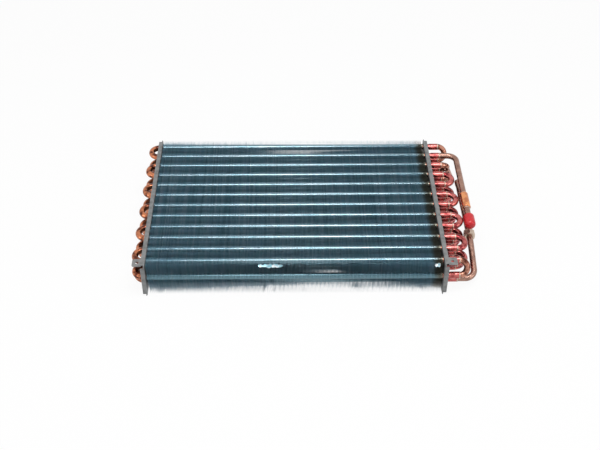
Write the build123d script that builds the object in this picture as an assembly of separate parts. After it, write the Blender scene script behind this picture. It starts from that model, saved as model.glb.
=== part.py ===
from build123d import *
import os
from math import hypot, sqrt

# Finned copper-tube evaporator coil, in millimetres.
# X runs along the tubes, Y from the front edge to the back, Z up.
# The origin is midway between the two mounting-ear holes, on the ears' top face.

# Tube pattern: three staggered rows of tubes, counted from the back to the front.
tube_od = 9.52
tubes_per_row = 12
row_names = ("top", "middle", "bottom")
tube_pitch = 25.4
row_pitch = 19.05
tube_slip = 0.05

# Fin pack. Each drawn plate stands for two of the real, thinner fins.
fin_pack_length = 440.6
fin_pitch = 4.0
fin_thickness = 0.8
core_cover = 0.6

# End plates, folded outwards on four sides, with one ear each at the front.
sheet = 1.2
plate_end_gap = 0.5
plate_hole_slip = 0.2
flange_width = 6.5
fold_radius = 1.8
corner_notch = 4.0
front_lip = 4.2
back_lip = 0.6
top_lip = 1.2
bottom_lip = 1.2
ear_reach = 18.7
ear_width = 15.5
ear_hole_d = 5.0
ear_hole_out = 11.4
ear_hole_back = 9.6
ear_corner_radius = 3.0

# Hairpin tubes, bent at the left end, with belled sockets at the right end.
hairpin_leg_out = 5.6
bell_length = 12.0
bell_taper = 1.5
bell_wall = 0.5
bell_end_out = 23.4
socket_depth = 10.0
socket_slip = 0.1

# Return bends, pushed into the sockets, and the longer jumper.
bend_insert = 9.5
bend_straight = 1.5
jumper_radius = 13.0
jumper_straight = 5.5

# Pipes on the right end: they all run at the same distance from the plate.
pipe_wall = 0.8
pipe_run_out = 52.2

# Outlet pipe, from the second top tube, and the fittings on its end.
outlet_bend_radius = 14.0
outlet_run = 114.0
coupling_od = 13.4
coupling_length = 33.0
coupling_overlap = 12.0
coupling_slip = 0.1
coupling_rim_radius = 1.0
stub_length = 54.0
cap_od = 17.0
cap_length = 25.0
cap_floor = 3.0
cap_slip = 0.15
cap_rim_radius = 2.5
cap_end_radius = 6.5

# Inlet line, from the last bottom tube: an elbow that rises and then levels out, a feed
# tube that runs back beneath the outlet pipe, and the nut over the joint of the two.
inlet_bend_radius = 15.0
inlet_rise = 18.8
inlet_run = 62.0
inlet_knee_radius = 25.0
inlet_level_run = 25.0
feed_length = 131.0
nut_across_flats = 16.0
nut_length = 12.0
nut_edge = 1.2
nut_mouth_depth = 6.0
nut_slip = 0.2
nut_seat_gap = 0.3

# Sizes that follow from the ones above.
fin_depth = tubes_per_row * tube_pitch
fin_height = len(row_names) * row_pitch
web_x = fin_pack_length / 2 + plate_end_gap
plate_front_y = -ear_hole_back
fin_front_y = plate_front_y + front_lip
plate_depth = front_lip + fin_depth + back_lip
plate_height = top_lip + fin_height + bottom_lip
fin_top_z = -top_lip
socket_end_x = web_x + bell_end_out
bell_radius = tube_od / 2 + socket_slip + bell_wall
fin_middle = (0, fin_front_y + fin_depth / 2, fin_top_z - fin_height / 2)
plate_middle_y = plate_front_y + plate_depth / 2
plate_middle_z = -plate_height / 2
pipe_run_x = web_x + pipe_run_out


def tube_y(row, number):
    """Rows are staggered: the middle row lies half a pitch further forward."""
    margin = 0.25 if row_names[row] == "middle" else 0.75
    return fin_front_y + (margin + tubes_per_row - number) * tube_pitch


def tube_z(row):
    return fin_top_z - (row + 0.5) * row_pitch


def tube_places():
    """Centres of all the tubes, as (y, z)."""
    rows = range(len(row_names))
    numbers = range(1, tubes_per_row + 1)
    return [(tube_y(row, number), tube_z(row)) for row in rows for number in numbers]


def along_x(radius, length, y, z):
    """A round bar along X, centred on X zero."""
    return Pos(0, y, z) * Rot(0, 90, 0) * Cylinder(radius, length)


def swept_tube(path, outside, inside=0.0):
    """A tube, or a bar, swept along a path from its first end."""
    start = Plane(origin=path @ 0, z_dir=path % 0)
    bore = Circle(inside / 2) if inside else None
    ring = Circle(outside / 2) - bore if bore else Circle(outside / 2)
    return sweep(start * ring, path=path)


def turned(profile, origin, direction):
    """A turned piece: (radius, distance along the axis) points, spun about the axis."""
    outline = make_face(Polyline(*profile, close=True))
    flat = Plane(origin=(0, 0, 0), x_dir=(1, 0, 0), z_dir=(0, -1, 0))
    body = revolve(flat * outline, axis=Axis.Z)
    return Plane(origin=origin, z_dir=direction) * body


def fin_pack():
    """One block of fins: plates that stand proud of the core that holds the tubes.

    The core's faces lie just outside the tubes, so the gaps between the plates
    reach down to them from the top, the bottom, the front and the back.
    """
    side_margin = tube_pitch / 4 - tube_od / 2 - core_cover
    top_margin = row_pitch / 2 - tube_od / 2 - core_cover
    core = Box(fin_pack_length, fin_depth - 2 * side_margin, fin_height - 2 * top_margin)
    count = int((fin_pack_length - fin_thickness) / fin_pitch) + 1
    spread = (fin_pack_length - fin_thickness) / (count - 1)
    fin = Box(fin_thickness, fin_depth, fin_height)
    fins = [Pos((i - (count - 1) / 2) * spread, 0, 0) * fin for i in range(count)]
    pack = Pos(*fin_middle) * (core + fins)
    hole_radius = tube_od / 2 + tube_slip
    holes = [along_x(hole_radius, fin_pack_length + 2, y, z) for y, z in tube_places()]
    return pack - holes


def end_plate(side):
    """Folded sheet: a web with round holes and four flanges turned outwards.

    Side is -1 for the left plate and 1 for the right one. It is drawn for the
    right end and mirrored for the left.
    """
    reach = flange_width
    tray = Pos(web_x + reach / 2, plate_middle_y, plate_middle_z) * Box(
        reach, plate_depth, plate_height
    )
    tray = fillet(tray.faces().sort_by(Axis.X)[0].edges(), fold_radius)
    pocket = Pos(web_x + sheet + reach / 2, plate_middle_y, plate_middle_z) * Box(
        reach, plate_depth - 2 * sheet, plate_height - 2 * sheet
    )
    pocket = fillet(pocket.faces().sort_by(Axis.X)[0].edges(), fold_radius - sheet)
    notch = Box(reach, 2 * corner_notch, 2 * corner_notch)
    notch_x = web_x + fold_radius + reach / 2
    corners = [
        Pos(notch_x, plate_middle_y + i * plate_depth / 2, plate_middle_z + j * plate_height / 2)
        * notch
        for i in (-1, 1)
        for j in (-1, 1)
    ]
    hole_radius = tube_od / 2 + plate_hole_slip
    holes = [
        Pos(web_x, y, z) * Rot(0, 90, 0) * Cylinder(hole_radius, 4 * sheet)
        for y, z in tube_places()
    ]
    plate = tray - pocket - corners - holes + mounting_ear()
    return plate if side > 0 else mirror(plate, about=Plane.YZ)


def mounting_ear():
    """The ear runs on from the top flange, level with it, with one bolt hole."""
    root = web_x + flange_width - sheet
    length = web_x + ear_reach - root
    strip = Pos(root + length / 2, 0, -sheet / 2) * Box(length, ear_width, sheet)
    tip = strip.edges().filter_by(Axis.Z).sort_by(Axis.X)[-2:]
    strip = fillet(tip, ear_corner_radius)
    hole = Pos(web_x + ear_hole_out, 0, -sheet / 2) * Cylinder(ear_hole_d / 2, 2 * sheet)
    return strip - hole


def hairpin(row, number):
    """Two straight legs and the half-turn between them, with belled right ends."""
    z = tube_z(row)
    bend_x = -web_x - hairpin_leg_out
    back, front = tube_y(row, number), tube_y(row, number + 1)
    middle = (bend_x - tube_pitch / 2, (back + front) / 2, z)
    half_turn = ThreePointArc((bend_x, back, z), middle, (bend_x, front, z))
    legs = [socketed_leg(bend_x, y, z) for y in (back, front)]
    return swept_tube(half_turn, tube_od) + legs


def socketed_leg(start_x, y, z):
    """A straight leg whose right end is widened into a socket for a return bend."""
    bare = tube_od / 2
    bore = bare + socket_slip
    end = socket_end_x - start_x
    profile = (
        (0, 0),
        (bare, 0),
        (bare, end - bell_length - bell_taper),
        (bell_radius, end - bell_length),
        (bell_radius, end),
        (bore, end),
        (bore, end - socket_depth),
        (0, end - socket_depth),
    )
    return turned(profile, (start_x, y, z), (1, 0, 0))


def return_bend(first, second):
    """A half-turn that joins two sockets, each given as (row, number)."""
    start_x = socket_end_x - bend_insert
    turn_x = socket_end_x + bend_straight
    y1, z1 = tube_y(*first), tube_z(first[0])
    y2, z2 = tube_y(*second), tube_z(second[0])
    radius = hypot(y2 - y1, z2 - z1) / 2
    outer = (turn_x + radius, (y1 + y2) / 2, (z1 + z2) / 2)
    path = Wire(
        [
            Line((start_x, y1, z1), (turn_x, y1, z1)),
            ThreePointArc((turn_x, y1, z1), outer, (turn_x, y2, z2)),
            Line((turn_x, y2, z2), (start_x, y2, z2)),
        ]
    )
    return swept_tube(path, tube_od)


def jumper_bend(first, second):
    """A longer link: two quarter-turns with a straight run between them."""
    start_x = socket_end_x - bend_insert
    run_x = socket_end_x + jumper_straight + jumper_radius
    y1, z1 = tube_y(*first), tube_z(first[0])
    y2, z2 = tube_y(*second), tube_z(second[0])
    path = FilletPolyline(
        (start_x, y1, z1), (run_x, y1, z1), (run_x, y2, z2), (start_x, y2, z2), radius=jumper_radius
    )
    return swept_tube(path, tube_od)


def outlet_parts():
    """The pipe from the second top tube, its coupling, end stub and push-on cap."""
    y, z = tube_y(0, 2), tube_z(0)
    run_end = y - outlet_run
    path = FilletPolyline(
        (socket_end_x - bend_insert, y, z),
        (pipe_run_x, y, z),
        (pipe_run_x, run_end, z),
        radius=outlet_bend_radius,
    )
    pipe = swept_tube(path, tube_od, tube_od - 2 * pipe_wall)
    forward = (0, -1, 0)
    coupling_y = run_end + coupling_overlap
    coupling = sleeve((pipe_run_x, coupling_y, z), forward)
    stub_y = coupling_y - coupling_length + coupling_overlap
    stub = pipe_piece(tube_od, pipe_wall, stub_length, (pipe_run_x, stub_y, z), forward)
    cap_y = stub_y - stub_length - cap_floor
    cap = end_cap((pipe_run_x, cap_y, z), (0, 1, 0))
    return {
        "outlet_pipe": pipe,
        "outlet_coupling": coupling,
        "outlet_stub": stub,
        "outlet_cap": cap,
    }


def pipe_piece(outside, wall, length, origin, direction):
    profile = (
        (outside / 2 - wall, 0),
        (outside / 2, 0),
        (outside / 2, length),
        (outside / 2 - wall, length),
    )
    return turned(profile, origin, direction)


def sleeve(origin, direction):
    """A coupling: a sleeve with rounded rims and a stop ring between the two pipes."""
    outer, bore = coupling_od / 2, tube_od / 2 + coupling_slip
    stop = tube_od / 2 - pipe_wall
    depth = coupling_overlap
    profile = (
        (bore, 0),
        (outer, 0),
        (outer, coupling_length),
        (bore, coupling_length),
        (bore, coupling_length - depth),
        (stop, coupling_length - depth),
        (stop, depth),
        (bore, depth),
    )
    body = turned(profile, origin, direction)
    rims = body.edges().filter_by(GeomType.CIRCLE)
    widest = [edge for edge in rims if edge.radius > outer - 0.01]
    return fillet(widest, min(coupling_rim_radius, 0.9 * (outer - bore)))


def end_cap(origin, direction):
    """A soft cup with a thick wall, closed at its origin and open along direction."""
    outer, bore = cap_od / 2, tube_od / 2 + cap_slip
    profile = (
        (0, 0),
        (outer, 0),
        (outer, cap_length),
        (bore, cap_length),
        (bore, cap_floor),
        (0, cap_floor),
    )
    body = turned(profile, origin, direction)
    rims = body.edges().filter_by(GeomType.CIRCLE)
    widest = sorted(
        (edge for edge in rims if edge.radius > outer - 0.01),
        key=lambda edge: (edge.center() - Vector(*origin)).length,
    )
    body = fillet(widest[0], min(cap_end_radius, 0.9 * outer))
    rims = body.edges().filter_by(GeomType.CIRCLE)
    mouth = max(
        (edge for edge in rims if edge.radius > outer - 0.01),
        key=lambda edge: (edge.center() - Vector(*origin)).length,
    )
    return fillet(mouth, min(cap_rim_radius, 0.9 * (outer - bore)))


def inlet_parts():
    """The elbow from the last bottom tube, the feed tube on its end and their nut."""
    y, z = tube_y(2, tubes_per_row), tube_z(2)
    knee = Vector(pipe_run_x, y + inlet_run, z + inlet_rise)
    elbow_end = knee + Vector(0, inlet_level_run, 0)
    path = FilletPolyline(
        (socket_end_x - bend_insert, y, z),
        (pipe_run_x, y, z),
        tuple(knee),
        tuple(elbow_end),
        radius=[inlet_bend_radius, inlet_knee_radius],
    )
    backward = (0, 1, 0)
    feed_start = elbow_end - Vector(0, bend_insert, 0)
    nut_start = feed_start - Vector(0, nut_length - nut_mouth_depth + nut_seat_gap, 0)
    return {
        "inlet_elbow": swept_tube(path, tube_od, tube_od - 2 * pipe_wall),
        "inlet_feed_tube": feed_tube(tuple(feed_start), backward),
        "inlet_flare_nut": flare_nut(tuple(nut_start), backward),
    }


def feed_tube(origin, direction):
    """A tube with a socket at each end: one for the elbow, one open for the supply line."""
    bare, inside, bore = tube_od / 2, tube_od / 2 - pipe_wall, tube_od / 2 + socket_slip
    near, far = socket_depth, feed_length - socket_depth
    profile = (
        (bore, 0),
        (bell_radius, 0),
        (bell_radius, near),
        (bare, near + bell_taper),
        (bare, far - bell_taper),
        (bell_radius, far),
        (bell_radius, feed_length),
        (bore, feed_length),
        (bore, far),
        (inside, far),
        (inside, near),
        (bore, near),
    )
    return turned(profile, origin, direction)


def flare_nut(origin, direction):
    """A hexagonal nut on the elbow, whose wider mouth reaches over the feed tube's socket."""
    blank = extrude(RegularPolygon(nut_across_flats / 2, 6, major_radius=False), nut_length)
    corner_radius = nut_across_flats / sqrt(3)
    turned_edge = (
        (0, 0),
        (corner_radius - nut_edge, 0),
        (corner_radius, nut_edge),
        (corner_radius, nut_length - nut_edge),
        (corner_radius - nut_edge, nut_length),
        (0, nut_length),
    )
    blank = blank & turned(turned_edge, (0, 0, 0), (0, 0, 1))
    tube_hole = Cylinder(tube_od / 2 + nut_slip, 3 * nut_length)
    mouth = Pos(0, 0, nut_length - nut_mouth_depth / 2) * Cylinder(
        bell_radius + nut_slip, nut_mouth_depth
    )
    return Plane(origin=origin, z_dir=direction) * (blank - tube_hole - mouth)


def hairpins():
    """Six hairpins in each row: tubes 1 and 2, 3 and 4, and so on."""
    pieces = {}
    for row, name in enumerate(row_names):
        for pair in range(tubes_per_row // 2):
            pieces[f"hairpin_{name}_{pair + 1}"] = hairpin(row, 2 * pair + 1)
    return pieces


def return_bends():
    """The bends that join the hairpins, row by row and from row to row."""
    top, middle, bottom = range(len(row_names))
    last = tubes_per_row
    in_row = {
        "return_bends_top": (top, range(4, last, 2)),
        "return_bends_middle": (middle, range(4, last, 2)),
        "return_bends_bottom": (bottom, range(2, last, 2)),
    }
    pieces = {}
    for name, (row, numbers) in in_row.items():
        bends = [return_bend((row, number), (row, number + 1)) for number in numbers]
        pieces[name] = Compound(bends)
    pieces["row_bend_back"] = return_bend((top, 1), (middle, 1))
    pieces["row_bend_third"] = return_bend((top, 3), (middle, 2))
    pieces["row_bend_front"] = return_bend((top, last), (middle, last))
    pieces["jumper_bend"] = jumper_bend((middle, 3), (bottom, 1))
    return pieces


def all_parts():
    parts = {
        "fin_pack": fin_pack(),
        "end_plate_left": end_plate(-1),
        "end_plate_right": end_plate(1),
    }
    parts.update(hairpins())
    parts.update(return_bends())
    parts.update(outlet_parts())
    parts.update(inlet_parts())
    return parts


os.makedirs("parts", exist_ok=True)
for node, shape in all_parts().items():
    export_step(shape, f"parts/{node}.step")
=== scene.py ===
# %% [markdown]
# # An evaporator coil, dressed for its portrait
# This coil lies flat on a pale floor: rows of copper tubes run through a block of thin blue
# fins, between two folded sheet plates. We start from the measured frame, where every part
# already has its place, and make the surfaces that a viewer sees. All sizes are in metres,
# so `MM` turns millimetres into them.

# %% Load the frame and note its box
import random
from math import cos, degrees, hypot, pi, radians, sin, tan

import bmesh
import bpy
from mathutils import Matrix, Vector


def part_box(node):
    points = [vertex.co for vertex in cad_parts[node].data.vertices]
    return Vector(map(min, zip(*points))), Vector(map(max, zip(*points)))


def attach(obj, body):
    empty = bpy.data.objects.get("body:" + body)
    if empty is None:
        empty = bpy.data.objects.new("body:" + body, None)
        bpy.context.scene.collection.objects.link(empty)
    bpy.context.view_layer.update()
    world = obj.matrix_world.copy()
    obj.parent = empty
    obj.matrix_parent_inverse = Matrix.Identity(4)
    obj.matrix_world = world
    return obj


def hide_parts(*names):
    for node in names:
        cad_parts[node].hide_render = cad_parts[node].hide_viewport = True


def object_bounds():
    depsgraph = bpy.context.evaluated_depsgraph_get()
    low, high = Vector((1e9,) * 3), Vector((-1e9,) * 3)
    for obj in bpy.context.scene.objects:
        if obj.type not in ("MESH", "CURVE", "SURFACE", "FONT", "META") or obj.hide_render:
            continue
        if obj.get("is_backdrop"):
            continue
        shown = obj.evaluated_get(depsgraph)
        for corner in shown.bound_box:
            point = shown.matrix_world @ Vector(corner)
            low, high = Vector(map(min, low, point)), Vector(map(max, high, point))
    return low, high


MM = 0.001
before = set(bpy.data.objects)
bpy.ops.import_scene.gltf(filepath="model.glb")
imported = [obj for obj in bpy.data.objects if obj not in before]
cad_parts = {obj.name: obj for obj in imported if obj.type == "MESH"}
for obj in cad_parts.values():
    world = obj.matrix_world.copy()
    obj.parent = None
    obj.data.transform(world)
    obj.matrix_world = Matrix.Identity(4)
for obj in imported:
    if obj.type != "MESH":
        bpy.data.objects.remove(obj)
cad_box = [list(corner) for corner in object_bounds()]
print("frame nodes:", len(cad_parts))

# %% [markdown]
# ## The sizes that everything shares
# Twelve tubes stand in each of three rows, and the middle row is moved forward by half a
# pitch. The tube centres could be typed in as a table. The fin block's own box already gives
# both pitches, though, so a short function works out each one, and every later piece calls it.

# %% Tube pattern, read from the frame
ROWS = ("top", "middle", "bottom")
TUBES_PER_ROW = 12
TUBE_RADIUS = 4.76 * MM

fins_low, fins_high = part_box("fin_pack")
tube_pitch = (fins_high.y - fins_low.y) / TUBES_PER_ROW
row_pitch = (fins_high.z - fins_low.z) / len(ROWS)
web_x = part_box("end_plate_right")[0].x
floor_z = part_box("end_plate_right")[0].z
every_tube = [(row, number) for row in range(len(ROWS)) for number in range(1, TUBES_PER_ROW + 1)]


def tube_y(row, number):
    """Tubes are numbered from the back. The middle row lies half a pitch further forward."""
    margin = 0.25 if ROWS[row] == "middle" else 0.75
    return fins_low.y + (margin + TUBES_PER_ROW - number) * tube_pitch


def tube_z(row):
    return fins_high.z - (row + 0.5) * row_pitch


def tube_point(x, tube):
    """A point on the centre line of a tube, which is given as (row, number)."""
    return Vector((x, tube_y(*tube), tube_z(tube[0])))


print("tube pitch %.2f mm, row pitch %.2f mm" % (tube_pitch / MM, row_pitch / MM))

# %% [markdown]
# ## The camera
# The photograph looks down at the coil from the front, at about forty degrees. A camera that
# stands well back keeps the plates nearly parallel, and a small lens shift puts the coil
# where the picture has it without turning the view. Its three axes are worked out from the
# viewing angles, because a tracking constraint would leave no place for the slight roll.

# %% Camera at the photograph's viewing angle
CAMERA_ELEVATION = radians(40.0)
CAMERA_YAW = radians(0.605)
CAMERA_ROLL = radians(0.111)
CAMERA_DISTANCE = 1567.4 * MM
CAMERA_LENS = 59.33
CAMERA_SHIFT = (0.0100, -0.0446)
CAMERA_CLIP = (0.05, 50)
SENSOR_WIDTH = 36.0


def add_camera():
    """Aims at the middle of the fins' top face, with right, up and back as its axes."""
    target = Vector((0, (fins_low.y + fins_high.y) / 2, fins_high.z))
    flat = cos(CAMERA_ELEVATION)
    ahead = Vector((sin(CAMERA_YAW) * flat, cos(CAMERA_YAW) * flat, -sin(CAMERA_ELEVATION)))
    level = Vector((cos(CAMERA_YAW), -sin(CAMERA_YAW), 0))
    steep = level.cross(ahead)
    right = cos(CAMERA_ROLL) * level + sin(CAMERA_ROLL) * steep
    up = cos(CAMERA_ROLL) * steep - sin(CAMERA_ROLL) * level
    place = Matrix((right, up, -ahead)).transposed().to_4x4()
    place.translation = target - CAMERA_DISTANCE * ahead
    data = bpy.data.cameras.new("camera")
    data.sensor_fit = "HORIZONTAL"
    data.sensor_width = SENSOR_WIDTH
    data.lens = CAMERA_LENS
    data.shift_x, data.shift_y = CAMERA_SHIFT
    data.clip_start, data.clip_end = CAMERA_CLIP
    camera = bpy.data.objects.new("camera", data)
    camera.matrix_world = place
    bpy.context.scene.collection.objects.link(camera)
    bpy.context.scene.camera = camera


add_camera()
bpy.context.scene.view_settings.view_transform = "Standard"
print("camera %.3f m away, lens %.1f mm" % (CAMERA_DISTANCE, CAMERA_LENS))

# %% [markdown]
# ## Node helpers
# A procedural material is a small graph of nodes. It could be wired node by node, but the
# recipes below repeat the same few steps. So each step is a helper that adds its nodes and
# returns the socket that matters, and a finish reads as a short list. All patterns use Object
# coordinates, which are metres in the coil's own frame, so a noise scale of 100 makes patches
# about a centimetre across.

# %% Helpers for procedural materials
# Noise seldom leaves this range, so stretching it to nought and one uses both ends fully.
NOISE_SPAN = (0.3, 0.7)


class Finish:
    """A material with a Principled shader and the nodes of its recipe."""

    def __init__(self, name, roughness=0.5, metallic=0.0):
        self.material = bpy.data.materials.new(name)
        self.material.use_nodes = True
        self.tree = self.material.node_tree
        self.shader = self.tree.nodes["Principled BSDF"]
        self.shader.inputs["Roughness"].default_value = roughness
        self.shader.inputs["Metallic"].default_value = metallic
        self.place = self.add("ShaderNodeTexCoord").outputs["Object"]

    def add(self, kind, **settings):
        node = self.tree.nodes.new(kind)
        for key, value in settings.items():
            setattr(node, key, value)
        return node

    def link(self, source, target):
        self.tree.links.new(source, target)

    def stretched(self, scale):
        node = self.add("ShaderNodeMapping")
        node.inputs["Scale"].default_value = scale
        self.link(self.place, node.inputs["Vector"])
        return node.outputs["Vector"]

    def noise(self, scale, detail=3.0, where=None):
        node = self.add("ShaderNodeTexNoise")
        node.inputs["Scale"].default_value = scale
        node.inputs["Detail"].default_value = detail
        self.link(where or self.place, node.inputs["Vector"])
        return node.outputs["Fac"]

    def axis(self, name):
        node = self.add("ShaderNodeSeparateXYZ")
        self.link(self.place, node.inputs[0])
        return node.outputs[name]

    def remap(self, value, low, high, to_low=0.0, to_high=1.0):
        node = self.add("ShaderNodeMapRange")
        self.link(value, node.inputs["Value"])
        node.inputs["From Min"].default_value = low
        node.inputs["From Max"].default_value = high
        node.inputs["To Min"].default_value = to_low
        node.inputs["To Max"].default_value = to_high
        return node.outputs["Result"]

    def math(self, operation, first, second):
        node = self.add("ShaderNodeMath", operation=operation)
        for value, socket in zip((first, second), node.inputs):
            if isinstance(value, (int, float)):
                socket.default_value = value
            else:
                self.link(value, socket)
        return node.outputs[0]

    def mixed(self, amount, first, second):
        """Blends two colours, each a colour triple or a socket, by an amount socket."""
        node = self.add("ShaderNodeMix", data_type="RGBA")
        self.link(amount, node.inputs["Factor"])
        for value, socket in ((first, node.inputs["A"]), (second, node.inputs["B"])):
            if isinstance(value, tuple):
                socket.default_value = (*value, 1.0)
            else:
                self.link(value, socket)
        return node.outputs["Result"]

    def clouded(self, cloud, first, second, span=NOISE_SPAN):
        """Soft patches of two colours: the second one where the noise is high."""
        return self.mixed(self.remap(cloud, *span), first, second)

    def colour(self, socket):
        self.link(socket, self.shader.inputs["Base Color"])

    def roughness(self, socket):
        self.link(socket, self.shader.inputs["Roughness"])

    def uneven_roughness(self, scale, low, high):
        self.roughness(self.remap(self.noise(scale), *NOISE_SPAN, low, high))

    def bump(self, scale, distance, strength):
        node = self.add("ShaderNodeBump")
        node.inputs["Distance"].default_value = distance
        node.inputs["Strength"].default_value = strength
        self.link(self.noise(scale), node.inputs["Height"])
        self.link(node.outputs["Normal"], self.shader.inputs["Normal"])


# %% [markdown]
# ## A white floor
# The photograph has a plain white ground. A stronger light could bleach the floor, but it
# would bleach the coil too. So the floor shows white to the camera and to mirror reflections
# only, and keeps a share of its true shading so that the coil's shadow still grounds it.

# %% Floor
FLOOR_HALF = 4.0
FLOOR_COLOUR = (0.86, 0.86, 0.86)
FLOOR_ROUGHNESS = 0.9
FLOOR_GLOW = 0.93


def seen_directly(tree):
    """One where a ray is from the camera, a mirror or glass, and nought elsewhere."""
    path = tree.nodes.new("ShaderNodeLightPath")
    total = path.outputs["Is Camera Ray"]
    for name in ("Is Glossy Ray", "Is Transmission Ray"):
        node = tree.nodes.new("ShaderNodeMath")
        node.operation = "MAXIMUM"
        tree.links.new(total, node.inputs[0])
        tree.links.new(path.outputs[name], node.inputs[1])
        total = node.outputs[0]
    return total


def floor_material():
    """Its own shading mixed with a plain white glow, which only direct rays see."""
    material = bpy.data.materials.new("pale_floor")
    material.use_nodes = True
    tree = material.node_tree
    shader = tree.nodes["Principled BSDF"]
    shader.inputs["Base Color"].default_value = (*FLOOR_COLOUR, 1.0)
    shader.inputs["Roughness"].default_value = FLOOR_ROUGHNESS
    glow = tree.nodes.new("ShaderNodeEmission")
    share = tree.nodes.new("ShaderNodeMath")
    share.operation = "MULTIPLY"
    share.inputs[1].default_value = FLOOR_GLOW
    tree.links.new(seen_directly(tree), share.inputs[0])
    mix = tree.nodes.new("ShaderNodeMixShader")
    tree.links.new(share.outputs[0], mix.inputs[0])
    tree.links.new(shader.outputs[0], mix.inputs[1])
    tree.links.new(glow.outputs[0], mix.inputs[2])
    tree.links.new(mix.outputs[0], tree.nodes["Material Output"].inputs["Surface"])
    return material


def add_floor():
    mesh = bmesh.new()
    bmesh.ops.create_grid(mesh, x_segments=1, y_segments=1, size=FLOOR_HALF)
    bmesh.ops.translate(mesh, vec=(0, 0, floor_z), verts=mesh.verts)
    data = bpy.data.meshes.new("floor")
    mesh.to_mesh(data)
    mesh.free()
    data.materials.append(floor_material())
    floor = bpy.data.objects.new("floor", data)
    bpy.context.scene.collection.objects.link(floor)
    floor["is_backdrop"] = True


add_floor()
print("floor at %.2f mm" % (floor_z / MM))

# %% [markdown]
# ## World and lamps
# One broad soft light hangs overhead, a little to the front: it draws the pale line along
# each tube. A point light would draw that line too, but as a hard glint with a hard shadow
# behind the coil. Two weaker lamps and the world fill the ends.

# %% World and lamps
WORLD_GLOW = 1.0
WORLD_FILL = 0.38
# Each lamp: its name, place, size and watts.
LAMPS = (
    ("overhead", (0.1, -0.2, 1.5), (1.3, 0.46), 17),
    ("left_fill", (-1.6, -0.5, 0.7), (0.8, 0.8), 5),
    ("right_fill", (1.6, -0.7, 0.8), (0.8, 0.8), 5),
)


def light_world():
    """White to the camera and to mirrors, and a weaker fill for everything else."""
    world = bpy.data.worlds.new("studio")
    world.use_nodes = True
    tree = world.node_tree
    background = tree.nodes["Background"]
    background.inputs["Color"].default_value = (1, 1, 1, 1)
    strength = tree.nodes.new("ShaderNodeMapRange")
    strength.inputs["To Min"].default_value = WORLD_FILL
    strength.inputs["To Max"].default_value = WORLD_GLOW
    tree.links.new(seen_directly(tree), strength.inputs["Value"])
    tree.links.new(strength.outputs["Result"], background.inputs["Strength"])
    bpy.context.scene.world = world


def area_light(name, place, size, power, target):
    data = bpy.data.lights.new(name, "AREA")
    data.shape = "RECTANGLE"
    data.size, data.size_y = size
    data.energy = power
    lamp = bpy.data.objects.new(name, data)
    aim = (Vector(target) - Vector(place)).to_track_quat("-Z", "Y")
    lamp.matrix_world = Matrix.Translation(place) @ aim.to_matrix().to_4x4()
    bpy.context.scene.collection.objects.link(lamp)


light_world()
for lamp_facts in LAMPS:
    area_light(*lamp_facts, target=(0, (fins_low.y + fins_high.y) / 2, fins_high.z))
print("lamps:", ", ".join(lamp_facts[0] for lamp_facts in LAMPS))

# %% [markdown]
# ## The fins' coat
# The fins are aluminium with a thin blue coating that sheds water: still a metal, so it
# mirrors light, but tinted. It differs a little from fin to fin, is browned beside the brazed
# joints, and is rubbed bare at the lower front edge and where fins were crushed. A painted
# picture could show all this, but each fin would then need unwrapping. Noise, and the place
# along the coil, give the same marks without.

# %% Finish of the coated fins
COAT_BLUE = (0.27, 0.45, 0.58)
COAT_TEAL = (0.22, 0.46, 0.54)
COAT_PALE = (0.50, 0.62, 0.70)
COAT_DEEP = (0.11, 0.25, 0.34)
COAT_SCORCHED = (0.14, 0.14, 0.11)
BARE_EDGE = (0.80, 0.84, 0.86)
SCORCH_REACH = 14 * MM
SCORCH_RAGGED = 8 * MM
RUB_REACH = 14 * MM
# Noise patches per metre along X, Y and Z: slices about as thin as the fins' pitch.
FIN_SLICES = (430, 4, 4)
FIN_TONE_CHANGE = 0.7


def fin_tones(finish, coat):
    """Makes some fins paler and some deeper than the coat."""
    each_fin = finish.noise(1.0, 1.0, finish.stretched(FIN_SLICES))
    pale = finish.remap(each_fin, 0.48, 0.68, 0.0, FIN_TONE_CHANGE)
    deep = finish.remap(each_fin, 0.30, 0.48, FIN_TONE_CHANGE, 0.0)
    return finish.mixed(deep, finish.mixed(pale, coat, COAT_PALE), COAT_DEEP)


def rubbed_low_edge(finish):
    """One at the fins' lower front edge, fading raggedly to nought further in."""
    from_edge = finish.math("ADD", finish.axis("Y"), finish.axis("Z"))
    ragged = finish.math("MULTIPLY", finish.noise(90, 2.0), RUB_REACH)
    edge = fins_low.y + fins_low.z
    depth = finish.math("SUBTRACT", from_edge, ragged)
    return finish.remap(depth, edge, edge + RUB_REACH / 2, 1.0, 0.0)


def coated_fin_finish():
    """The blue coating, browned beside the brazed joints and rubbed off the lower front edge."""
    finish = Finish("coated_fins", metallic=0.55)
    cloud = finish.noise(60, 4.0)
    coat = fin_tones(finish, finish.clouded(cloud, COAT_BLUE, COAT_TEAL))
    ragged = finish.math("MULTIPLY", cloud, SCORCH_RAGGED)
    along = finish.math("ADD", finish.axis("X"), ragged)
    near_joints = finish.remap(along, web_x - SCORCH_REACH, web_x - SCORCH_REACH / 2)
    coat = finish.mixed(near_joints, coat, COAT_SCORCHED)
    finish.colour(finish.mixed(rubbed_low_edge(finish), coat, BARE_EDGE))
    finish.uneven_roughness(300, 0.3, 0.45)
    return finish.material


def rubbed_fin_finish():
    """Where fins were crushed, the coating has rubbed off to bare aluminium in patches."""
    finish = Finish("rubbed_fins", roughness=0.35, metallic=0.85)
    finish.colour(finish.clouded(finish.noise(220, 4.0), COAT_TEAL, BARE_EDGE, (0.42, 0.58)))
    return finish.material


fin_blue = coated_fin_finish()
rubbed_fin = rubbed_fin_finish()
print("fin finishes:", fin_blue.name, rubbed_fin.name)

# %% [markdown]
# ## The collars' coat
# The drawn collars round the tubes wear the same coat, but smoother, so they catch the light
# as bright lines. One roughness all over would make those lines even, like a toy's. Streaks
# along the tubes and a duller left end break them up.

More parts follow.
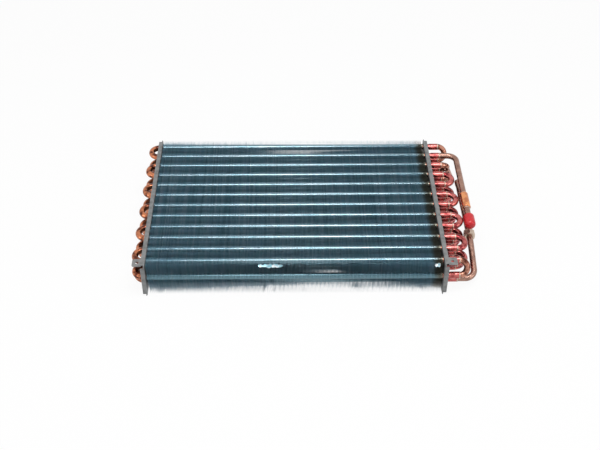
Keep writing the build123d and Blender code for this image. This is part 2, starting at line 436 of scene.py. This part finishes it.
# %% Finish of the collars
COLLAR_BLUE = (0.46, 0.56, 0.61)
COLLAR_TEAL = (0.26, 0.44, 0.50)
# Painted shade: a darker blue for the foremost tube's collar.
COLLAR_PAINTED_SHADE = (0.13, 0.23, 0.27)
COLLAR_STREAKS = (60, 500, 500)
DULL_REACH = 30 * MM
DULL_COLLAR = 0.42
BRIGHT_COLLAR = 0.16


def collar_finish():
    """The collars' streaked blue: duller at the left end, painted shade on the foremost tube."""
    finish = Finish("coated_collars", metallic=0.75)
    streak = finish.noise(1.0, 3.0, finish.stretched(COLLAR_STREAKS))
    coat = finish.clouded(streak, COLLAR_TEAL, COLLAR_BLUE, (0.32, 0.68))
    # Painted shade: the foremost tube's collar gets a darker blue than the other collars.
    foremost, second = tube_y(1, TUBES_PER_ROW), tube_y(0, TUBES_PER_ROW)
    coat = finish.mixed(finish.remap(finish.axis("Y"), foremost, second), COLLAR_PAINTED_SHADE, coat)
    along = finish.axis("X")
    near_joints = finish.remap(along, web_x - SCORCH_REACH, web_x - SCORCH_REACH / 3)
    finish.colour(finish.mixed(near_joints, coat, COAT_SCORCHED))
    worn = finish.math("MULTIPLY", finish.noise(25), DULL_REACH)
    left_end = finish.remap(finish.math("SUBTRACT", along, worn), -web_x - DULL_REACH, -web_x)
    finish.roughness(finish.remap(left_end, 0.0, 1.0, DULL_COLLAR, BRIGHT_COLLAR))
    return finish.material


collar_teal = collar_finish()
print("collar finish:", collar_teal.name)

# %% [markdown]
# ## Copper, clean and heated
# Copper is orange where it was only bent, rose where the brazing flame reached it, and brown
# where it has dulled. These could be separate pieces with separate colours, but a hairpin is
# one tube that changes along its length, so its recipe blends the two looks at the plate.

# %% Finishes of the copper
COPPER_ORANGE = (0.54, 0.20, 0.10)
COPPER_DARK = (0.10, 0.03, 0.02)
COPPER_ROSE = (0.55, 0.16, 0.145)
COPPER_WINE = (0.20, 0.03, 0.033)
COPPER_TAN = (0.50, 0.235, 0.165)
COPPER_BROWN = (0.40, 0.235, 0.18)
COPPER_UMBER = (0.21, 0.115, 0.09)
COPPER_FRESH = (0.80, 0.34, 0.15)
HEAT_EDGE = 2 * MM


def copper_finish(name, clean, dull, heated=None, shine=(0.12, 0.26), patches=(0.44, 0.60)):
    """Clean metal clouded with a duller tone, reddened by heat at the right-hand ends."""
    finish = Finish(name, metallic=1.0)
    cloud = finish.noise(120)
    tone = finish.clouded(cloud, clean, dull, patches)
    if heated:
        near_joint = finish.remap(finish.axis("X"), web_x - HEAT_EDGE, web_x + HEAT_EDGE)
        tone = finish.mixed(near_joint, tone, finish.clouded(cloud, *heated, (0.42, 0.66)))
    finish.colour(tone)
    finish.uneven_roughness(220, *shine)
    finish.bump(300, distance=0.05 * MM, strength=0.3)
    return finish.material


hairpin_copper = copper_finish(
    "hairpin_copper", COPPER_ORANGE, COPPER_DARK, heated=(COPPER_ROSE, COPPER_WINE)
)
bend_copper = copper_finish("bend_copper", COPPER_TAN, COPPER_DARK)
rosy_copper = copper_finish("rosy_copper", COPPER_ROSE, COPPER_WINE)
pipe_copper = copper_finish(
    "pipe_copper", COPPER_BROWN, COPPER_UMBER, shine=(0.18, 0.34), patches=(0.36, 0.78)
)
fresh_copper = copper_finish("fresh_copper", COPPER_FRESH, COPPER_ORANGE)
coppers = (hairpin_copper, bend_copper, rosy_copper, pipe_copper, fresh_copper)
print("copper finishes:", ", ".join(copper.name for copper in coppers))

# %% [markdown]
# ## Zinc, plastic, brass and braze
# The end plates are zinc-coated sheet with faint cloudy crystals, the cap is soft red
# plastic, the nut is turned brass, and each joint has a bead of filler metal. All four are
# two near tones in patches. One flat colour each would do from afar, but looks like paint.

# %% Finishes of the plates and fittings
ZINC_LIGHT = (0.23, 0.235, 0.235)
ZINC_DARK = (0.13, 0.135, 0.135)
ZINC_CRYSTALS = 140
CAP_RED = (0.50, 0.008, 0.014)
CAP_BRIGHT = (0.60, 0.02, 0.025)
CAP_MILKINESS = 0.05
BRASS = (0.64, 0.53, 0.43)
BRASS_DULL = (0.44, 0.34, 0.27)
BRAZE_PALE = (0.55, 0.44, 0.36)


def zinc_finish():
    """Cloudy crystals, from cells that a broad noise blurs, in two dull greys."""
    finish = Finish("zinc_sheet", metallic=0.4)
    crystals = finish.add("ShaderNodeTexVoronoi")
    crystals.inputs["Scale"].default_value = ZINC_CRYSTALS
    finish.link(finish.place, crystals.inputs["Vector"])
    spread = finish.math("ADD", crystals.outputs["Distance"], finish.noise(40))
    finish.colour(finish.clouded(spread, ZINC_DARK, ZINC_LIGHT, (0.5, 1.2)))
    finish.uneven_roughness(90, 0.36, 0.55)
    finish.bump(400, distance=0.05 * MM, strength=0.3)
    return finish.material


def plastic_finish():
    finish = Finish("red_plastic", roughness=0.38)
    finish.colour(finish.clouded(finish.noise(150), CAP_RED, CAP_BRIGHT))
    finish.shader.inputs["Subsurface Weight"].default_value = CAP_MILKINESS
    finish.bump(260, distance=0.25 * MM, strength=0.4)
    return finish.material


def brass_finish():
    finish = Finish("turned_brass", metallic=1.0)
    finish.colour(finish.clouded(finish.noise(150, 4.0), BRASS, BRASS_DULL))
    finish.uneven_roughness(300, 0.28, 0.45)
    return finish.material


def braze_finish():
    finish = Finish("braze_metal", roughness=0.3, metallic=0.9)
    finish.colour(finish.clouded(finish.noise(400, 4.0), BRAZE_PALE, COPPER_BROWN))
    finish.bump(900, distance=0.15 * MM, strength=0.7)
    return finish.material


zinc = zinc_finish()
red_plastic = plastic_finish()
brass = brass_finish()
braze = braze_finish()
print("materials in all:", len(bpy.data.materials))

# %% [markdown]
# ## Drawing tubes with rings
# A bent tube could be a curve with a round bevel, but bells and sockets would then have to be
# joined on. Here it is a ring that travels: straight runs extrude it, bends spin it about
# their centre, and a bell widens it. Keeping the ring's open edge after each step lets the
# next step carry on from there, just as a bender works along a length of pipe.

# %% Ring helpers
RING_SIDES = 28
BEND_STEPS = 18
TURN_STEPS = 40


def across(direction):
    """A turn that takes +Z to the given direction."""
    return Vector((0, 0, 1)).rotation_difference(Vector(direction)).to_matrix().to_4x4()


def each_once(items):
    """Each item once, as first met. A set's order changes, and sums would round differently."""
    return list(dict.fromkeys(items))


def ring(mesh, centre, direction, radius=TUBE_RADIUS, sides=RING_SIDES):
    """An open circle of edges round a point, facing a direction."""
    place = Matrix.Translation(centre) @ across(direction)
    made = bmesh.ops.create_circle(mesh, segments=sides, radius=radius, matrix=place)
    return each_once(edge for vert in made["verts"] for edge in vert.link_edges)


def ring_middle(edges):
    verts = each_once(vert for edge in edges for vert in edge.verts)
    return sum((vert.co for vert in verts), Vector()) / len(verts)


def run_on(mesh, edges, offset, widen=1.0):
    """Extrudes the ring by an offset, then scales it about its own middle."""
    made = bmesh.ops.extrude_edge_only(mesh, edges=edges)["geom"]
    verts = [item for item in made if isinstance(item, bmesh.types.BMVert)]
    bmesh.ops.translate(mesh, vec=offset, verts=verts)
    rim = [
        item
        for item in made
        if isinstance(item, bmesh.types.BMEdge) and all(vert in verts for vert in item.verts)
    ]
    if widen != 1.0:
        space = Matrix.Translation(-ring_middle(rim))
        bmesh.ops.scale(mesh, vec=(widen, widen, widen), space=space, verts=verts)
    return rim


def turn_on(mesh, edges, centre, axis, angle):
    """Spins the ring about an axis and returns the last ring's edges."""
    made = bmesh.ops.spin(
        mesh, geom=edges, cent=centre, axis=axis, angle=angle, steps=BEND_STEPS, use_merge=False
    )
    return [item for item in made["geom_last"] if isinstance(item, bmesh.types.BMEdge)]


def close(mesh, edges):
    bmesh.ops.contextual_create(mesh, geom=edges)


def bent_tube(mesh, points, bend_radii):
    """Runs a ring along straight lines joined by arcs. Returns its first and last edges."""
    points = [Vector(point) for point in points]
    here = points[0]
    first = rim = ring(mesh, here, points[1] - here)
    for before, corner, after, bend in zip(points, points[1:], points[2:], bend_radii):
        arriving, leaving = (corner - before).normalized(), (after - corner).normalized()
        turn = arriving.angle(leaving)
        inset = bend * tan(turn / 2)
        rim = run_on(mesh, rim, corner - arriving * inset - here)
        centre = corner + (leaving - arriving).normalized() * (bend / cos(turn / 2))
        rim = turn_on(mesh, rim, centre, arriving.cross(leaving), turn)
        here = corner + leaving * inset
    return first, run_on(mesh, rim, points[-1] - here)


def turned(mesh, profile, origin, direction, steps=TURN_STEPS):
    """Spins a closed outline of (radius, distance) points about an axis through origin."""
    place = Matrix.Translation(origin) @ across(direction)
    verts = [mesh.verts.new(place @ Vector((radius, 0, along))) for radius, along in profile]
    edges = [mesh.edges.new((a, b)) for a, b in zip(verts, verts[1:] + verts[:1])]
    bmesh.ops.spin(
        mesh, geom=verts + edges, cent=origin, axis=direction, angle=2 * pi, steps=steps,
        use_merge=True,
    )


print("a ring has", RING_SIDES, "sides, and a bend", BEND_STEPS, "steps")

# %% [markdown]
# ## From mesh to finished piece
# Every piece ends the same way: doubles are merged, faces turned outwards, the name and the finish
# are given, and the node that it stands for is hidden. Smooth shading over the whole piece would
# blur its rims, so edges that turn sharply are marked to stay crisp. The spin operator makes its
# faces in an order that changes from run to run, and sorting them undoes that.

# %% Finishing a piece
SHARP_ANGLE = radians(38)
WELD_DISTANCE = 0.001 * MM


def sort_faces(mesh):
    """Orders the faces by two of their corners, which no two faces share in the same way."""
    mesh.verts.index_update()
    count = len(mesh.verts)
    mesh.faces.sort(key=lambda face: face.verts[0].index * count + face.verts[2].index)


def add_piece(name, mesh, material, replaced=()):
    """Turns a bmesh into a finished piece that rides on the coil."""
    bmesh.ops.remove_doubles(mesh, verts=mesh.verts, dist=WELD_DISTANCE)
    bmesh.ops.recalc_face_normals(mesh, faces=mesh.faces)
    sort_faces(mesh)
    for face in mesh.faces:
        face.smooth = True
    for edge in mesh.edges:
        edge.smooth = len(edge.link_faces) == 2 and edge.calc_face_angle() < SHARP_ANGLE
    data = bpy.data.meshes.new(name)
    mesh.to_mesh(data)
    mesh.free()
    data.materials.append(material)
    piece = bpy.data.objects.new(name, data)
    bpy.context.scene.collection.objects.link(piece)
    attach(piece, "root")
    if replaced:
        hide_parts(*replaced)
    triangles = sum(len(polygon.vertices) - 2 for polygon in data.polygons)
    print(name, triangles, "triangles")
    return piece


def give_wall(piece, thickness, offset=0):
    """Thickens a bare surface, to both sides at offset 0 and inwards only at -1."""
    wall = piece.modifiers.new("wall", "SOLIDIFY")
    wall.thickness = thickness
    wall.offset = offset


print("edges sharper than %.0f degrees stay crisp" % degrees(SHARP_ANGLE))

# %% [markdown]
# ## One fin
# Real fins are stamped from foil about an eighth of a millimetre thick, two millimetres
# apart, with a herringbone wave that stiffens them, flat margins and a slight bow. A picture
# of stripes on a block would show none of the depth between them, so each fin is a small
# grid, folded into that wave and given its thickness by a Solidify modifier. Knocks have bent
# the front edges in places, so fins near a knock lean sideways.

# %% One fin
WAVE_HEIGHT = 1.2 * MM
MARGIN_FOLDS = 2
BOW = 2.8 * MM
FIN_FOLDS = 4 * TUBES_PER_ROW
# Shares of the fin's height at which the grid has a row of points, from the bottom up.
FIN_LEVELS = (0.0, 0.09, 0.4, 0.91, 1.0)
EDGE_JITTER = 0.2 * MM
JITTER_DEPTH = 6 * MM
KNOCK_DEPTH = 9 * MM
# Each knock, in millimetres: where along the coil, how far it reaches, how far it pushed.
LOW_KNOCKS = (
    (-210, 9, 3.2), (-197, 5, -2.4), (-45, 4, -3.0), (-36, 6, 3.0), (91, 13, 3.4), (187, 6, 2.6)
)


def fade(distance, reach):
    """One at no distance, falling straight to nought at the reach."""
    return max(0.0, 1.0 - distance / reach)


def low_knock(x):
    """The sideways push on a fin's lower front corner, in metres."""
    push = 0.0
    for place, reach, size in LOW_KNOCKS:
        near = fade(abs(x / MM - place), reach)
        push += size * MM * near * (3 - 2 * near) * near
    return push


def fin_lean(rng, push, y, z):
    """How far a point of a fin is moved sideways by its bow, by knocks and by handling."""
    bow = BOW * ((fins_high.z - z) / (fins_high.z - fins_low.z)) ** 2 - BOW / 2
    from_corner = (y - fins_low.y) + (z - fins_low.z)
    depth_in = min(y - fins_low.y, fins_high.z - z, z - fins_low.z, fins_high.y - y)
    handling = fade(depth_in, JITTER_DEPTH) * rng.uniform(-EDGE_JITTER, EDGE_JITTER)
    return bow + handling + fade(from_corner, KNOCK_DEPTH) * push


def add_fin(mesh, rng, x):
    """One grid in the YZ plane, folded into the wave."""
    steps = len(FIN_LEVELS) - 1
    made = bmesh.ops.create_grid(mesh, x_segments=steps, y_segments=FIN_FOLDS, size=0.5)
    push = low_knock(x)
    for vert in made["verts"]:
        level = FIN_LEVELS[round((vert.co.x + 0.5) * steps)]
        fold = round((vert.co.y + 0.5) * FIN_FOLDS)
        y = fins_low.y + fold / FIN_FOLDS * (fins_high.y - fins_low.y)
        z = fins_low.z + level * (fins_high.z - fins_low.z)
        waved = MARGIN_FOLDS <= fold <= FIN_FOLDS - MARGIN_FOLDS
        wave = WAVE_HEIGHT * (0.5 if fold % 2 else -0.5) * waved
        vert.co = (x + wave + fin_lean(rng, push, y, z), y, z)


print("a fin's grid has", FIN_FOLDS * (len(FIN_LEVELS) - 1), "faces")

# %% [markdown]
# ## The pack of fins
# The press stacks the fins at an even pitch, which their collars set. An Array modifier would
# repeat one fin exactly, but real ones differ, so each is added in turn with its own small
# random bends. Two halves keep each piece's triangle count within bounds.

# %% Fins
FIN_PITCH = 2.0 * MM
FIN_THICKNESS = 0.12 * MM


def add_fin_half(name, places, seed, replaced=()):
    rng = random.Random(seed)
    mesh = bmesh.new()
    for x in places:
        add_fin(mesh, rng, x)
    give_wall(add_piece(name, mesh, fin_blue, replaced), FIN_THICKNESS)


margin = (WAVE_HEIGHT + BOW) / 2 + EDGE_JITTER + FIN_THICKNESS
fin_run = fins_high.x - fins_low.x - 2 * margin
fin_count = round(fin_run / FIN_PITCH) + 1
fin_places = [fins_low.x + margin + fin_run * i / (fin_count - 1) for i in range(fin_count)]
add_fin_half("fins_left", fin_places[:fin_count // 2], seed=11, replaced=("fin_pack",))
add_fin_half("fins_right", fin_places[fin_count // 2:], seed=12)
print("fins:", fin_count)

# %% [markdown]
# ## Fins crushed flat
# Two blows along the upper front edge have folded the tips right over, so that they lie on
# one another like tiles and flash in the light. Bending the thin fins themselves that far
# would tear their wave, so each patch is a low strip laid over the edge, one tile to a fin.

# %% Crushed fins
# Where each strip starts and ends along the coil, and its tiles' pitch, in millimetres.
CRUSHED = ((-54, -18), (206, 214))
CRUSH_TILE = 1.8
CRUSH_REACH = 4.0 * MM
CRUSH_UP = (0.2, 0.9)
CRUSH_DOWN = (0.5, 1.0)
CRUSH_INSET = 0.8 * MM
CRUSH_DROP = 1.9 * MM
CRUSH_STAND_OFF = (-0.2, 0.3)
# Degrees: the spread of the tiles' tilt at the strip's left end, and how much steeper it gets.
CRUSH_TILT = (18, 42)
CRUSH_STEEPENING = 26


def crushed_tile(rng, along):
    """One tile's reach up and down the edge, its tilt, and how far it stands off."""
    swell = sin(pi * along) ** 0.5
    up = -CRUSH_REACH * swell * rng.uniform(*CRUSH_UP)
    down = CRUSH_REACH * swell * rng.uniform(*CRUSH_DOWN)
    tilt = rng.uniform(*CRUSH_TILT) + CRUSH_STEEPENING * along
    return up, down, radians(tilt), rng.uniform(*CRUSH_STAND_OFF) * MM


def add_crushed_strip(mesh, rng, first, last):
    """A strip over the front edge, ragged along its sides and thin at its ends."""
    count = round((last - first) / CRUSH_TILE)
    made = bmesh.ops.create_grid(mesh, x_segments=count, y_segments=2, size=0.5)
    tiles = [crushed_tile(rng, (i + 0.5) / (count + 1)) for i in range(count + 1)]
    for vert in made["verts"]:
        along = vert.co.x + 0.5
        up, down, tilt, stand_off = tiles[round(along * count)]
        reach = (down, 0.0, up)[round((vert.co.y + 0.5) * 2)]
        vert.co = (
            (first + (last - first) * along) * MM,
            fins_low.y + CRUSH_INSET - reach * cos(tilt),
            fins_high.z - CRUSH_DROP + stand_off - reach * sin(tilt),
        )


def add_crushed_fins(seed):
    rng = random.Random(seed)
    mesh = bmesh.new()
    for first, last in CRUSHED:
        add_crushed_strip(mesh, rng, first, last)
    give_wall(add_piece("crushed_fins", mesh, rubbed_fin), FIN_THICKNESS)


add_crushed_fins(seed=5)

# %% [markdown]
# ## Collars
# Each fin hole has a drawn collar that grips the tube, and the collars touch one another, so
# between the fins no copper shows: only a blue sleeve. Thousands of single collars would look
# the same as one thin sleeve per tube, so a sleeve stands for each row of them.

# %% Collar sleeves
COLLAR_WALL = 0.2 * MM
COLLAR_SIDES = 20


def add_collars():
    mesh = bmesh.new()
    length = fins_high.x - fins_low.x
    for tube in every_tube:
        start = tube_point(fins_low.x, tube)
        rim = ring(mesh, start, (1, 0, 0), TUBE_RADIUS + COLLAR_WALL, COLLAR_SIDES)
        run_on(mesh, rim, (length, 0, 0))
    sleeves = add_piece("tube_collars", mesh, collar_teal)
    give_wall(sleeves, COLLAR_WALL / 2, offset=-1)


add_collars()

# %% [markdown]
# ## Hairpin tubes
# Eighteen tubes are each bent once, at the left, and pushed through the fins from there. At
# the right their ends are belled into sockets. A bend, two legs and two bells could be made
# apart and joined. One ring that starts at the bend and runs both ways leaves no seams.

# %% Hairpins
BELL_RADIUS = 5.36 * MM
BELL_LENGTH = 12.0 * MM
BELL_TAPER = 1.5 * MM
SOCKET_RADIUS = 4.86 * MM
SOCKET_DEPTH = 10.0 * MM


def bell_on(mesh, edges, step, length=BELL_LENGTH):
    """Widens the ring into a bell that runs on along a unit step, with an open socket."""
    rim = run_on(mesh, edges, step * BELL_TAPER, BELL_RADIUS / TUBE_RADIUS)
    rim = run_on(mesh, rim, step * length)
    rim = run_on(mesh, rim, Vector(), SOCKET_RADIUS / BELL_RADIUS)
    rim = run_on(mesh, rim, -step * SOCKET_DEPTH)
    close(mesh, rim)


def add_hairpin(row, pair):
    """Tubes 2n-1 and 2n of a row are the two legs of its hairpin n."""
    node = "hairpin_%s_%d" % (ROWS[row], pair)
    low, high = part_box(node)
    back, front = tube_y(row, 2 * pair - 1), tube_y(row, 2 * pair)
    z = tube_z(row)
    bend_x = low.x + tube_pitch / 2 + TUBE_RADIUS
    straight_x = high.x - BELL_LENGTH - BELL_TAPER
    mesh = bmesh.new()
    first = ring(mesh, (bend_x, back, z), (-1, 0, 0))
    last = turn_on(mesh, first, (bend_x, (back + front) / 2, z), (0, 0, 1), pi)
    for rim in (first, last):
        bell_on(mesh, run_on(mesh, rim, (straight_x - bend_x, 0, 0)), Vector((1, 0, 0)))
    add_piece(node + "_tube", mesh, hairpin_copper, (node,))


for row in range(len(ROWS)):
    for pair in range(1, TUBES_PER_ROW // 2 + 1):
        add_hairpin(row, pair)

# %% [markdown]
# ## Return bends
# Short half-turns join the sockets: most within a row, three from the top row down to the
# middle one. Each kind could be drawn by itself, but a half-turn between any two sockets is
# one spin, about an axis square to the line between them and to the tubes. So a list of which
# sockets each node joins is all that differs.

# %% Return bends
NODE_BENDS = {
    "return_bends_top": [((0, n), (0, n + 1)) for n in range(4, TUBES_PER_ROW, 2)],
    "return_bends_middle": [((1, n), (1, n + 1)) for n in range(4, TUBES_PER_ROW, 2)],
    "return_bends_bottom": [((2, n), (2, n + 1)) for n in range(2, TUBES_PER_ROW, 2)],
    "row_bend_back": [((0, 1), (1, 1))],
    "row_bend_third": [((0, 3), (1, 2))],
    "row_bend_front": [((0, TUBES_PER_ROW), (1, TUBES_PER_ROW))],
}


def half_turn(mesh, start_x, turn_x, first, second):
    """A return bend between two sockets, each given as (row, number)."""
    one, two = tube_point(turn_x, first), tube_point(turn_x, second)
    rim = ring(mesh, one, (1, 0, 0))
    axis = (two - one).cross(Vector((1, 0, 0)))
    last = turn_on(mesh, rim, (one + two) / 2, axis, -pi)
    for edges in (rim, last):
        close(mesh, run_on(mesh, edges, (start_x - turn_x, 0, 0)))


def add_bends(node, pairs):
    """Bends within a row were reddened by the flame, and those between rows stayed tan."""
    low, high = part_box(node)
    first, second = pairs[0]
    span = hypot(tube_y(*first) - tube_y(*second), tube_z(first[0]) - tube_z(second[0]))
    turn_x = high.x - span / 2 - TUBE_RADIUS
    mesh = bmesh.new()
    for first, second in pairs:
        half_turn(mesh, low.x, turn_x, first, second)
    material = rosy_copper if len(pairs) > 1 else bend_copper
    add_piece(node + "_copper", mesh, material, (node,))


for node, pairs in NODE_BENDS.items():
    add_bends(node, pairs)

# %% [markdown]
# ## Outlet pipe
# The outlet pipe leaves the second top tube and turns forwards. A coupling joins it to a
# short stub, which the cap closes. The pipes could be typed in point by point, but their
# corners are read back from their own boxes in the frame, so the smooth tubes lie exactly
# where the solids are.

# %% Outlet pipe and stub
OUTLET_BEND = 14 * MM


def box_middle(node, axis):
    low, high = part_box(node)
    return (low[axis] + high[axis]) / 2


pipe_x = box_middle("outlet_coupling", 0)
outlet_z = box_middle("outlet_coupling", 2)


def add_pipe(name, node, corners, bend_radii, material=pipe_copper):
    """A closed tube along straight runs, with a bend at each corner between them."""
    mesh = bmesh.new()
    for rim in bent_tube(mesh, corners, bend_radii):
        close(mesh, rim)
    add_piece(name, mesh, material, (node,))


def add_outlet_pipe():
    low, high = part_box("outlet_pipe")
    y = high.y - TUBE_RADIUS
    corners = [(low.x, y, outlet_z), (pipe_x, y, outlet_z), (pipe_x, low.y, outlet_z)]
    add_pipe("outlet_pipe_tube", "outlet_pipe", corners, [OUTLET_BEND])


def add_outlet_stub():
    low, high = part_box("outlet_stub")
    ends = [(pipe_x, high.y, outlet_z), (pipe_x, low.y, outlet_z)]
    add_pipe("outlet_stub_tube", "outlet_stub", ends, [])


add_outlet_pipe()
add_outlet_stub()

# %% [markdown]
# ## Inlet line
# Beneath the outlet lies the inlet line: an elbow from the lowest front tube, which rises and
# levels out, and a feed tube with a socket at each end. The elbow is one more pipe with two
# bends. The feed tube's two bells face away from each other, so it grows from its middle.

# %% Inlet elbow and feed tube
INLET_BEND = 15 * MM
KNEE_BEND = 25 * MM
INLET_RUN = 62 * MM
FEED_BELL_LENGTH = 10.0 * MM


def add_inlet_elbow():
    """Out of the lowest front tube, back, up beneath the cap, and level again."""
    low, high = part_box("inlet_elbow")
    y, bottom, top = low.y + TUBE_RADIUS, low.z + TUBE_RADIUS, high.z - TUBE_RADIUS
    corners = [(low.x, y, bottom), (pipe_x, y, bottom)]
    corners += [(pipe_x, y + INLET_RUN, top), (pipe_x, high.y, top)]
    add_pipe("inlet_elbow_tube", "inlet_elbow", corners, [INLET_BEND, KNEE_BEND])


def add_feed_tube():
    """One tube with a bell at each end. It starts at mid-length and grows both ways."""
    low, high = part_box("inlet_feed_tube")
    z = box_middle("inlet_feed_tube", 2)
    half = (high.y - low.y) / 2 - FEED_BELL_LENGTH - BELL_TAPER
    mesh = bmesh.new()
    back = ring(mesh, (pipe_x, (low.y + high.y) / 2, z), (0, 1, 0))
    front = run_on(mesh, back, (0, -half, 0))
    back = run_on(mesh, back, (0, half, 0))
    bell_on(mesh, front, Vector((0, -1, 0)), FEED_BELL_LENGTH)
    bell_on(mesh, back, Vector((0, 1, 0)), FEED_BELL_LENGTH)
    add_piece("inlet_feed_line", mesh, pipe_copper, ("inlet_feed_tube",))


add_inlet_elbow()
add_feed_tube()

# %% [markdown]
# ## Jumper
# One longer bend takes the circuit from the middle row down to the bottom row. A single spin
# like the return bends' would sweep too wide and meet the pipes, so it is a pipe with two
# tighter corners and a straight run between them.

# %% Jumper
JUMPER_BEND = 13 * MM


def add_jumper():
    """From the middle row's third tube down to the bottom row's first."""
    low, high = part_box("jumper_bend")
    run_x = high.x - TUBE_RADIUS
    start, end = (1, 3), (2, 1)
    corners = [tube_point(x, start) for x in (low.x, run_x)]
    corners += [tube_point(x, end) for x in (run_x, low.x)]
    bends = [JUMPER_BEND, JUMPER_BEND]
    add_pipe("jumper_bend_copper", "jumper_bend", corners, bends, bend_copper)


add_jumper()

# %% [markdown]
# ## Coupling and cap
# Both are turned shapes. A cylinder with bevelled ends would come close, but the cap's end is
# far rounder than its mouth, so each piece is one outline spun about the pipe. Its rounded
# corners are quarter arcs worked out by a small function.

# %% Coupling and cap
COUPLING_ROUND = 1.0 * MM
CAP_END_ROUND = 6.5 * MM
CAP_RIM_ROUND = 2.5 * MM
CAP_WALL = 3.6 * MM
CAP_FLOOR = 3.0 * MM
ARC_POINTS = 7


def corner_arc(radius, distance, size, start):
    """A quarter arc of (radius, distance) points round a centre, from a start angle."""
    turns = [start + pi / 2 * i / (ARC_POINTS - 1) for i in range(ARC_POINTS)]
    return [(radius + size * cos(turn), distance + size * sin(turn)) for turn in turns]


def add_coupling():
    """A sleeve on the pipe, with both of its rims rounded."""
    low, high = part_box("outlet_coupling")
    outer, length, size = (high.x - low.x) / 2, high.y - low.y, COUPLING_ROUND
    profile = [(TUBE_RADIUS, 0)]
    profile += corner_arc(outer - size, size, size, -pi / 2)
    profile += corner_arc(outer - size, length - size, size, 0)
    profile += [(TUBE_RADIUS, length)]
    mesh = bmesh.new()
    turned(mesh, profile, (pipe_x, high.y, outlet_z), (0, -1, 0))
    add_piece("outlet_sleeve", mesh, fresh_copper, ("outlet_coupling",))


def add_cap():
    """A thick soft cup: closed at the front, with a rounded mouth at the back."""
    low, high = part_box("outlet_cap")
    outer, length = (high.x - low.x) / 2, high.y - low.y
    profile = [(0, 0)]
    profile += corner_arc(outer - CAP_END_ROUND, CAP_END_ROUND, CAP_END_ROUND, -pi / 2)
    profile += corner_arc(outer - CAP_RIM_ROUND, length - CAP_RIM_ROUND, CAP_RIM_ROUND, 0)
    profile += [(outer - CAP_WALL, length), (outer - CAP_WALL, CAP_FLOOR), (0, CAP_FLOOR)]
    mesh = bmesh.new()
    turned(mesh, profile, (pipe_x, low.y, outlet_z), (0, 1, 0))
    add_piece("red_end_cap", mesh, red_plastic, ("outlet_cap",))


add_coupling()
add_cap()

# %% [markdown]
# ## Braze rings
# Every joint was made by running molten filler round the mouth of its socket. It sets as a
# small pale bead. A bump in the copper's finish would not show from the side, so each socket
# gets a thin ring with a rounded section, turned like the coupling.

# %% Braze rings
BEAD_HEIGHT = 0.75 * MM
BEAD_WIDTH = 2.4 * MM
BEAD_POINTS = 6
BEAD_SIDES = 24


def bead_outline():
    """A low hump from the tube's surface up and back down, closed beneath."""
    turns = [pi * i / (BEAD_POINTS - 1) for i in range(BEAD_POINTS)]
    return [
        (TUBE_RADIUS + BEAD_HEIGHT * sin(turn), BEAD_WIDTH / 2 * (1 - cos(turn))) for turn in turns
    ]


def add_braze_rings():
    """A bead at every belled end, and one at each end of the coupling."""
    socket_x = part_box("hairpin_top_1")[1].x
    coupling_low, coupling_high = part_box("outlet_coupling")
    mesh = bmesh.new()
    for tube in every_tube:
        turned(mesh, bead_outline(), tube_point(socket_x, tube), (1, 0, 0), BEAD_SIDES)
    for y in (coupling_high.y, coupling_low.y - BEAD_WIDTH):
        turned(mesh, bead_outline(), (pipe_x, y, outlet_z), (0, 1, 0), BEAD_SIDES)
    add_piece("braze_rings", mesh, braze)


add_braze_rings()

# %% [markdown]
# ## Plates and nut
# The folded end plates and the nut already have their true flanges, notches, ears and flats
# in the frame. Drawing them again would only risk a difference, so they keep their own meshes
# and are given a finish.

# %% Carried-over nodes get their finishes
CARRIED = {
    "end_plate_left": zinc,
    "end_plate_right": zinc,
    "inlet_flare_nut": brass,
}
for node, material in CARRIED.items():
    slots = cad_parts[node].data.materials
    slots.clear()
    slots.append(material)
print("kept from the frame:", ", ".join(CARRIED))

# %% [markdown]
# ## The box before and after
# The box before and after dressing is printed, so that the two can be compared: a dressed coil
# that has grown would be a mistake.

# %% Write the boxes and finish
visual_box = [list(corner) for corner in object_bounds()]
for name, before, after in zip(("low", "high"), cad_box, visual_box):
    print(name, "corner moved by", [round((b - a) / MM, 2) for a, b in zip(before, after)], "mm")
